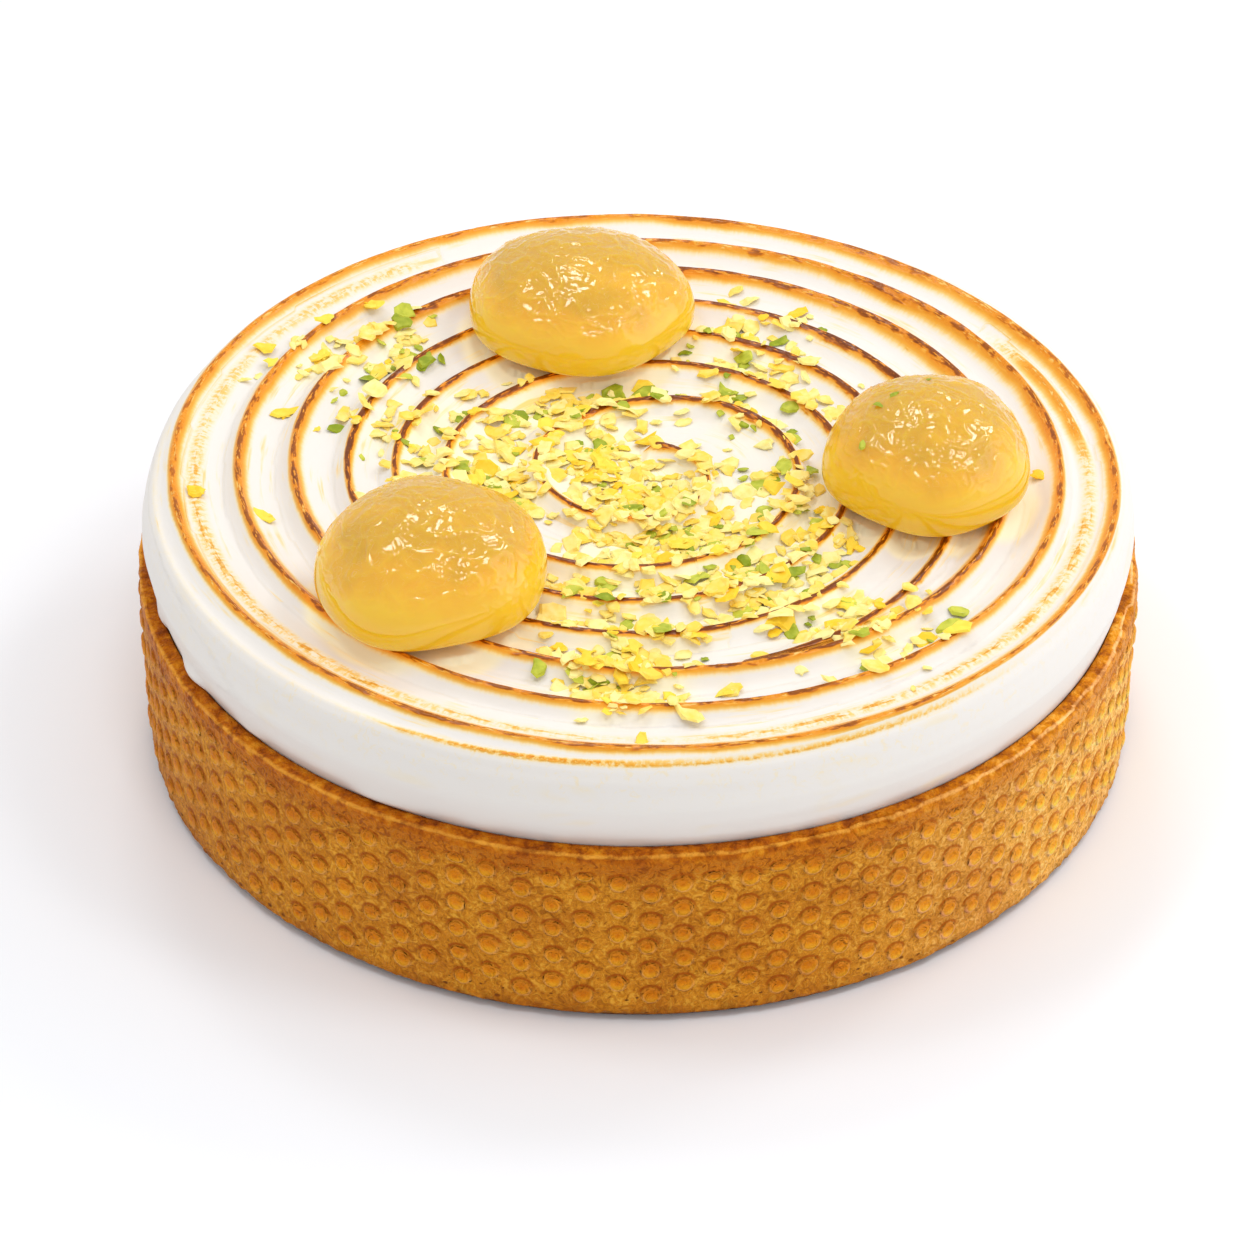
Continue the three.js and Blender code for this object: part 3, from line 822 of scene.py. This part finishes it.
    # the bottom edge is scorched, and the band under the rim and the rim itself are browner
    bottom = addNode(tree, "MapRange", [up, 2.6 * mm, 0.5 * mm, 0, 0.7], **soft)
    bottomColours = [(0.38, "#663000"), (0.5, "#A85A04"), (0.64, "#E48E24")]
    scorched = addNode(tree, "ValToRGB", [clump], ramp=bottomColours)
    # the lowest millimetre is painted almost black: a painted contact shadow where the wall meets the floor
    shadowed = addNode(tree, "MapRange", [up, 1.0 * mm, 0.3 * mm, 0, 0.8], **soft)
    underRim = addNode(tree, "MapRange", [up, 16.6 * mm, 18.3 * mm, 0, 0.65], **soft)
    bandColours = [(0.4, "#A24C00"), (0.5, "#D87A0A"), (0.6, "#BC6004")]
    wrinkled = addNode(tree, "ValToRGB", [wrinkle], ramp=bandColours)
    rim = addNode(tree, "MapRange", [up, 18.7 * mm, 19.4 * mm, 0, 0.85], **soft)
    rimColours = [(0.36, "#8E4000"), (0.45, "#BC6200"), (0.54, "#DA7E00"), (0.66, "#F4A42A")]
    speckled = addNode(tree, "ValToRGB", [clump], ramp=rimColours)
    # the very edge of the rim is painted pale: partly rubbed, partly a painted highlight where it catches the
    # light
    glintAndWear = addNode(tree, "MapRange", [clump, 0.4, 0.56, 0.3, 0.95])
    wornAndLitEdge = addNode(tree, "Math", [glintAndWear, rimEdge], operation="MULTIPLY")

    # where each colour lies over the ones before it
    coats = [
        (onCap, linearColour("#FFA30D")),
        (shadedCap, linearColour("#E17D00")),
        (litCap, linearColour("#FFC135")),
        (browned, linearColour("#B35800")),
        (paintedHighlight, highlightColour),
        (nipped, linearColour("#DC7A00")),
        (pit, linearColour("#6A2E04")),
        (bottom, scorched),
        (shadowed, linearColour("#562600")),
        (underRim, wrinkled),
        (rim, speckled),
        (wornAndLitEdge, linearColour("#FFB44C")),
    ]
    coated = crumbed
    for share, colour in coats:
        coated = addNode(tree, "Mix", {0: share, 6: coated, 7: colour}, 2, data_type="RGBA")
    # it browned unevenly in patches, and the right side is painted paler: painted light from that side
    patchy = addNode(tree, "ValToRGB", [slow], ramp=[(0.35, "#E3D3AA"), (0.6, "#F4EEC8")])
    uneven = addNode(tree, "Mix", {0: 1, 6: coated, 7: patchy}, 2, data_type="RGBA", blend_type="MULTIPLY")
    litSidePaint = {0: litSide, 6: uneven, 7: (1.48, 1.95, 7.2, 1)}
    baked = addNode(tree, "Mix", litSidePaint, 2, data_type="RGBA", blend_type="MULTIPLY", clamp_result=True)
    tree.links.new(baked, surface.inputs["Base Color"])
    # relief: the bead round each stud, wrinkles, then grains and pits
    bead = addNode(
        tree,
        "ValToRGB",
        [half],
        ramp=[
            (0, "#606060"),
            (0.2, "#707070"),
            (0.4, "#FFFFFF"),
            (0.5, "#404040"),
            (0.57, "#000000"),
            (0.7, "#404040"),
        ],
    )
    beaded = addNode(tree, "Bump", {"Height": bead, "Strength": 1, "Distance": 0.26 * mm})
    deep = addNode(tree, "Math", [grain, pit], operation="SUBTRACT")
    rough = addNode(tree, "Bump", {"Height": deep, "Strength": 1, "Distance": 0.1 * mm, "Normal": beaded})
    folded = addNode(tree, "Bump", {"Height": wrinkle, "Strength": 1, "Distance": 0.36 * mm, "Normal": rough})
    tree.links.new(folded, surface.inputs["Normal"])
    return material


def torchedMeringueMaterial():
    # Swiss meringue whipped stiff and torched: satin white, glossy caramel where the flame caught a
    # ridge, burnt sugar along its crest, and a yellowish white where lemon juice has soaked in, painted
    # brighter there as painted light against the shade of the zest and the domes
    material, tree, surface = newMaterial("torchedMeringue", {"IOR": 1.45, "Specular IOR Level": 0.35})
    place = addNode(tree, "TexCoord", output=3)
    torch = addNode(tree, "Attribute", output=1, attribute_name="torch")
    torchGap = addNode(tree, "Attribute", output=2, attribute_name="torchGap")
    ridge = addNode(tree, "Attribute", output=1, attribute_name="ridge")
    wear = addNode(tree, "Attribute", output=1, attribute_name="wear")
    signed, toast, dark = addNode(tree, "SeparateXYZ", [torch], slice(0, 3))
    shoulder, flecks, juice = addNode(tree, "SeparateXYZ", [wear], slice(0, 3))

    # noises that follow the ridges: length of their lumps along and across a ridge in mm, detail, roughness
    flows = {
        "strokes": (0.4, 1.6, 3, 0.6),
        "slow": (8, 12, 2, 0.5),
        "patches": (2.2, 0.5, 2, 0.5),
        "paintedGlints": (1.3, 0.18, 2, 0.5),
        "streaks": (9, 0.55, 3, 0.55),
    }
    for name, (along, across, detail, roughness) in flows.items():
        scale = (1 / along, 1 / along, 1 / across)
        drawn = addNode(tree, "Mapping", {"Vector": ridge, "Scale": scale})
        lumps = {"Vector": drawn, "Scale": perMetre(1), "Detail": detail, "Roughness": roughness}
        flows[name] = addNode(tree, "TexNoise", lumps)
    strokes, slow, patches, paintedGlints, streaks = flows.values()
    mottles = {"Vector": place, "Scale": perMetre(meringue["mottleSize"]), "Detail": 4, "Roughness": 0.6}
    mottle = addNode(tree, "TexNoise", mottles)
    squiggles = {"Vector": place, "Scale": perMetre(meringue["curlSize"]), "Detail": 4, "Roughness": 0.7}
    curls = addNode(tree, "TexNoise", squiggles | {"Distortion": 1})

    # distance from the crest; the second measure hides the false crest halfway between two ridges
    beside = addNode(tree, "Math", [torchGap, 0.14], operation="SUBTRACT")
    farther = addNode(tree, "Math", [signed], operation="ABSOLUTE")
    away = addNode(tree, "Math", [farther, beside], operation="MAXIMUM")
    # caramel is deepest at the crest and fades down the flank, a little frayed by the flame's strokes
    fray = addNode(tree, "Math", [strokes, 0.3, away], operation="MULTIPLY_ADD")
    frayed = addNode(tree, "Math", [mottle, 0.2, fray], operation="MULTIPLY_ADD")
    fringe = addNode(tree, "Math", [slow, -0.5, frayed], operation="MULTIPLY_ADD")
    band = addNode(tree, "MapRange", [fringe, 1.12, 0.2, 0, 1], **soft)
    plateau = addNode(tree, "Math", [mottle, 0.16, 0.2], operation="MULTIPLY_ADD")
    stroked = addNode(tree, "Math", [strokes, 0.16, plateau], operation="MULTIPLY_ADD")
    deepened = addNode(tree, "Math", [slow, 0.14, stroked], operation="MULTIPLY_ADD")
    heat = addNode(tree, "Math", [band, deepened], operation="MULTIPLY")
    # a weakly toasted ridge is only speckled
    specks = addNode(tree, "Math", [strokes, mottle], operation="ADD")
    speckle = addNode(tree, "MapRange", [specks, 0.86, 1.16, 0.4, 1.15], **soft)
    even = addNode(tree, "MapRange", [toast, 0.5, 0.9, 0, 1], **soft)
    cover = addNode(tree, "Mix", {0: even, 2: speckle, 3: 1})
    covered = addNode(tree, "Math", [toast, cover], operation="MULTIPLY")
    caramel = addNode(tree, "Math", [heat, covered], operation="MULTIPLY")
    # burnt patches crowd along the crest, with thin pale flashes between them: painted glints on the caramel
    atCrest = addNode(tree, "MapRange", [away, 0.72, 0.08, 0, 0.38], **soft)
    crowd = addNode(tree, "Math", [patches, atCrest], operation="ADD")
    patched = addNode(tree, "Math", [slow, 0.3, crowd], operation="MULTIPLY_ADD")
    hot = addNode(tree, "Math", [dark, 0.16, patched], operation="MULTIPLY_ADD")
    burnt = addNode(tree, "MapRange", [hot, 1.0, 1.15, 0, 0.35], **soft)
    burntBand = addNode(tree, "Math", [burnt, band], operation="MULTIPLY")
    some = addNode(tree, "Math", [dark, 0.25], operation="POWER")
    browned = addNode(tree, "Math", [burntBand, some, caramel], operation="MULTIPLY_ADD")
    sharp = addNode(tree, "MapRange", [paintedGlints, 0.55, 0.64, 0, -0.5], **soft)
    onCrest = addNode(tree, "MapRange", [away, 0.5, 0.1, 0, 1], **soft)
    glintFlash = addNode(tree, "Math", [sharp, onCrest], operation="MULTIPLY")
    glintAndWear = addNode(tree, "Math", [glintFlash, browned, browned], operation="MULTIPLY_ADD")
    # wisps drawn along the grooves, squiggles on the side, and the shoulder that the flame licked
    wispy = addNode(tree, "MapRange", [streaks, 0.52, 0.72, 0, 0.17], **soft)
    here = addNode(tree, "MapRange", [slow, 0.42, 0.6, 0, 1], **soft)
    besideRidge = addNode(tree, "MapRange", [toast, 0, 0.1, 0.3, 1])  # fainter on the side, which has none
    faint = addNode(tree, "Math", [wispy, here], operation="MULTIPLY")
    wisp = addNode(tree, "Math", [faint, besideRidge], operation="MULTIPLY")
    curly = addNode(tree, "MapRange", [curls, 0.52, 0.68, 0, 0.07], **soft)
    curl = addNode(tree, "Math", [curly, flecks], operation="MULTIPLY")
    lick = addNode(tree, "MapRange", [mottle, 0.34, 0.62, 0.26, 0.6], **soft)
    onTop = addNode(tree, "Math", [glintAndWear, wisp], operation="MAXIMUM")
    onSide = addNode(tree, "Math", [lick, shoulder, curl], operation="MULTIPLY_ADD")
    total = addNode(tree, "Math", [onTop, onSide], operation="ADD")
    sugar = addNode(
        tree,
        "ValToRGB",
        [total],
        ramp=[
            (0, "#EDE8E2"),
            (0.08, "#F2E4C6"),
            (0.2, "#F6CC76"),
            (0.32, "#F2AC34"),
            (0.44, "#E88E14"),
            (0.56, "#C87008"),
            (0.68, "#A05606"),
            (0.8, "#7A3A04"),
            (0.95, "#542402"),
        ],
    )
    # the juice yellows the meringue, and it is painted brighter than its white: painted light against the
    # zest's shade
    soaked = addNode(tree, "Math", [slow, juice], operation="MULTIPLY")
    yellowedAndLit = addNode(tree, "MapRange", [soaked, 0.06, 0.4, 0, 0.85], **soft)
    juiceAndLight = {0: yellowedAndLit, 6: sugar, 7: (1.19, 1.16, 0.86, 1)}
    wet = addNode(tree, "Mix", juiceAndLight, 2, data_type="RGBA", blend_type="MULTIPLY")
    tree.links.new(wet, surface.inputs["Base Color"])
    gloss = addNode(tree, "MapRange", [total, 0.1, 0.5, 0.5, 0.25], **soft)
    tree.links.new(gloss, surface.inputs["Roughness"])
    blistered = addNode(tree, "MapRange", [total, 0.15, 0.45, 0.15, 1], **soft)
    grain = addNode(tree, "Math", [patches, blistered], operation="MULTIPLY")
    relief = addNode(tree, "Bump", {"Height": grain, "Strength": 0.7, "Distance": 0.25 * mm})
    tree.links.new(relief, surface.inputs["Normal"])
    return material


def lemonJellyMaterial():
    # lemon jelly set with pectin: cloudy golden amber that light soaks into, wet and glassy, painted duller
    # towards its top and brighter at its foot as painted shade and light, its skin drawn into fine creases
    # that catch every lamp
    finish = {
        "Roughness": 0.02,
        "IOR": 1.42,
        "Specular IOR Level": 0.75,
        "Subsurface Weight": 1,
        "Subsurface Radius": (1, 0.85, 0.12),
        "Subsurface Scale": 6 * mm,
        "Coat Weight": 0.25,
        "Coat Roughness": 0.02,
        "Coat IOR": 1.45,
    }
    material, tree, surface = newMaterial("lemonJelly", finish)
    place = addNode(tree, "TexCoord", output=3)
    skin = addNode(tree, "Attribute", output=2, attribute_name="skin")
    cloud = addNode(tree, "TexNoise", {"Vector": place, "Scale": perMetre(jelly["cloudSize"])})
    cloudy = addNode(tree, "MapRange", [cloud, 0.3, 0.7, -0.15, 0.15])
    depth = addNode(tree, "Math", [skin, cloudy], operation="ADD")
    # the amber is painted brighter at the foot and duller towards the top: painted light and shade
    ambers = [(0, "#FFC42E"), (0.5, "#FCC935"), (0.8, "#EAB52E"), (1, "#D8A92A")]
    amber = addNode(tree, "ValToRGB", [depth], ramp=ambers)
    # the skin's finest creases are painted pale: partly dry skin, partly painted glints
    lines = {"Vector": place, "Scale": perMetre(jelly["lineSize"]), "Detail": 1, "Distortion": 2}
    creases = addNode(tree, "TexNoise", lines)
    fold = addNode(tree, "Math", [creases, 0.5], operation="SUBTRACT")
    nearFold = addNode(tree, "Math", [fold], operation="ABSOLUTE")
    crease = addNode(tree, "MapRange", [nearFold, 0.012, 0.004, 0, 0.15], **soft)
    onSkin = addNode(tree, "MapRange", [depth, 0.6, 0.9, 0, 1], **soft)
    paleCreaseAndGlint = addNode(tree, "Math", [crease, onSkin], operation="MULTIPLY")
    skinned = addNode(tree, "Mix", {0: paleCreaseAndGlint, 6: amber, 7: linearColour("#FFF0C0")}, 2, data_type="RGBA")
    tree.links.new(skinned, surface.inputs["Base Color"])
    return material


def zestMaterial(name, light, deep):
    # grated peel: waxy and wet, thin enough for light to soak through, each bit of its own tone
    finish = {
        "Roughness": 0.42,
        "IOR": 1.4,
        "Specular IOR Level": 0.3,
        "Subsurface Weight": 0.08,
        "Subsurface Radius": (1, 1, 0.8),
        "Subsurface Scale": 0.2 * mm,
    }
    material, tree, surface = newMaterial(name, finish)
    tone = addNode(tree, "Attribute", output=2, attribute_name="tone")
    place = addNode(tree, "TexCoord", output=3)
    pith = addNode(tree, "TexNoise", {"Vector": place, "Scale": perMetre(zest["pithSize"])})
    patchy = addNode(tree, "Math", [pith, 1.6, -0.8], operation="MULTIPLY_ADD")
    toned = addNode(tree, "Math", [tone, patchy], operation="ADD")
    colour = addNode(tree, "ValToRGB", [toned], ramp=[(0, light), (1, deep)])
    tree.links.new(colour, surface.inputs["Base Color"])
    return material


studio = {
    "skyStrength": 0.72,
    "floorSize": 4000,
    "paper": "#F4F6FA",
    # small softboxes overhead that glint in the jelly, and a large one low at the right
    "softboxes": [
        {
            "size": 116,
            "power": 0.37,
            "places": [(60, -180, 580), (300, -40, 520), (-220, 80, 560), (-40, 320, 510), (350, 270, 410)],
        },
        {"size": 420, "power": 0.52, "places": [(510, -30, 210)]},
    ],
}


def addSoftbox(size, power, place):
    data = bpy.data.lights.new("softbox", "AREA")
    data.size = size * mm
    data.energy = power
    light = bpy.data.objects.new("softbox", data)
    light.location = Vector(place) * mm
    light.rotation_euler = (-light.location).to_track_quat("-Z", "Y").to_euler()
    bpy.context.scene.collection.objects.link(light)


def makeStudio():
    scene = bpy.context.scene
    scene.view_settings.view_transform = "Standard"
    scene.world = bpy.data.worlds.new("studio")
    scene.world.use_nodes = True
    sky = scene.world.node_tree.nodes["Background"]
    sky.inputs["Color"].default_value = (1, 1, 1, 1)
    sky.inputs["Strength"].default_value = studio["skyStrength"]
    for kind in studio["softboxes"]:
        for place in kind["places"]:
            addSoftbox(kind["size"], kind["power"], place)
    bm = bmesh.new()
    bmesh.ops.create_grid(bm, x_segments=1, y_segments=1, size=studio["floorSize"] * mm / 2)
    mesh = bpy.data.meshes.new("floor")
    bm.to_mesh(mesh)
    bm.free()
    floor = bpy.data.objects.new("floor", mesh)
    scene.collection.objects.link(floor)
    # matt paper: no gleam, only the soft shadow under the tart
    paper, _, _ = newMaterial("whitePaper", {"Base Color": linearColour(studio["paper"]), "Roughness": 0.9})
    mesh.materials.append(paper)


makeCamera()
makeShell(shortcrustMaterial())
print("shell done")
makeMeringue(torchedMeringueMaterial())
print("meringue done")
jellyMaterial = lemonJellyMaterial()
for dome in domes:
    makeJelly(dome, jellyMaterial)
print("jelly done")
for number, kind in enumerate(zest["kinds"]):
    makeZest(number, kind, zestMaterial(kind["peel"], *kind["colours"]))
print("zest done")
makeStudio()
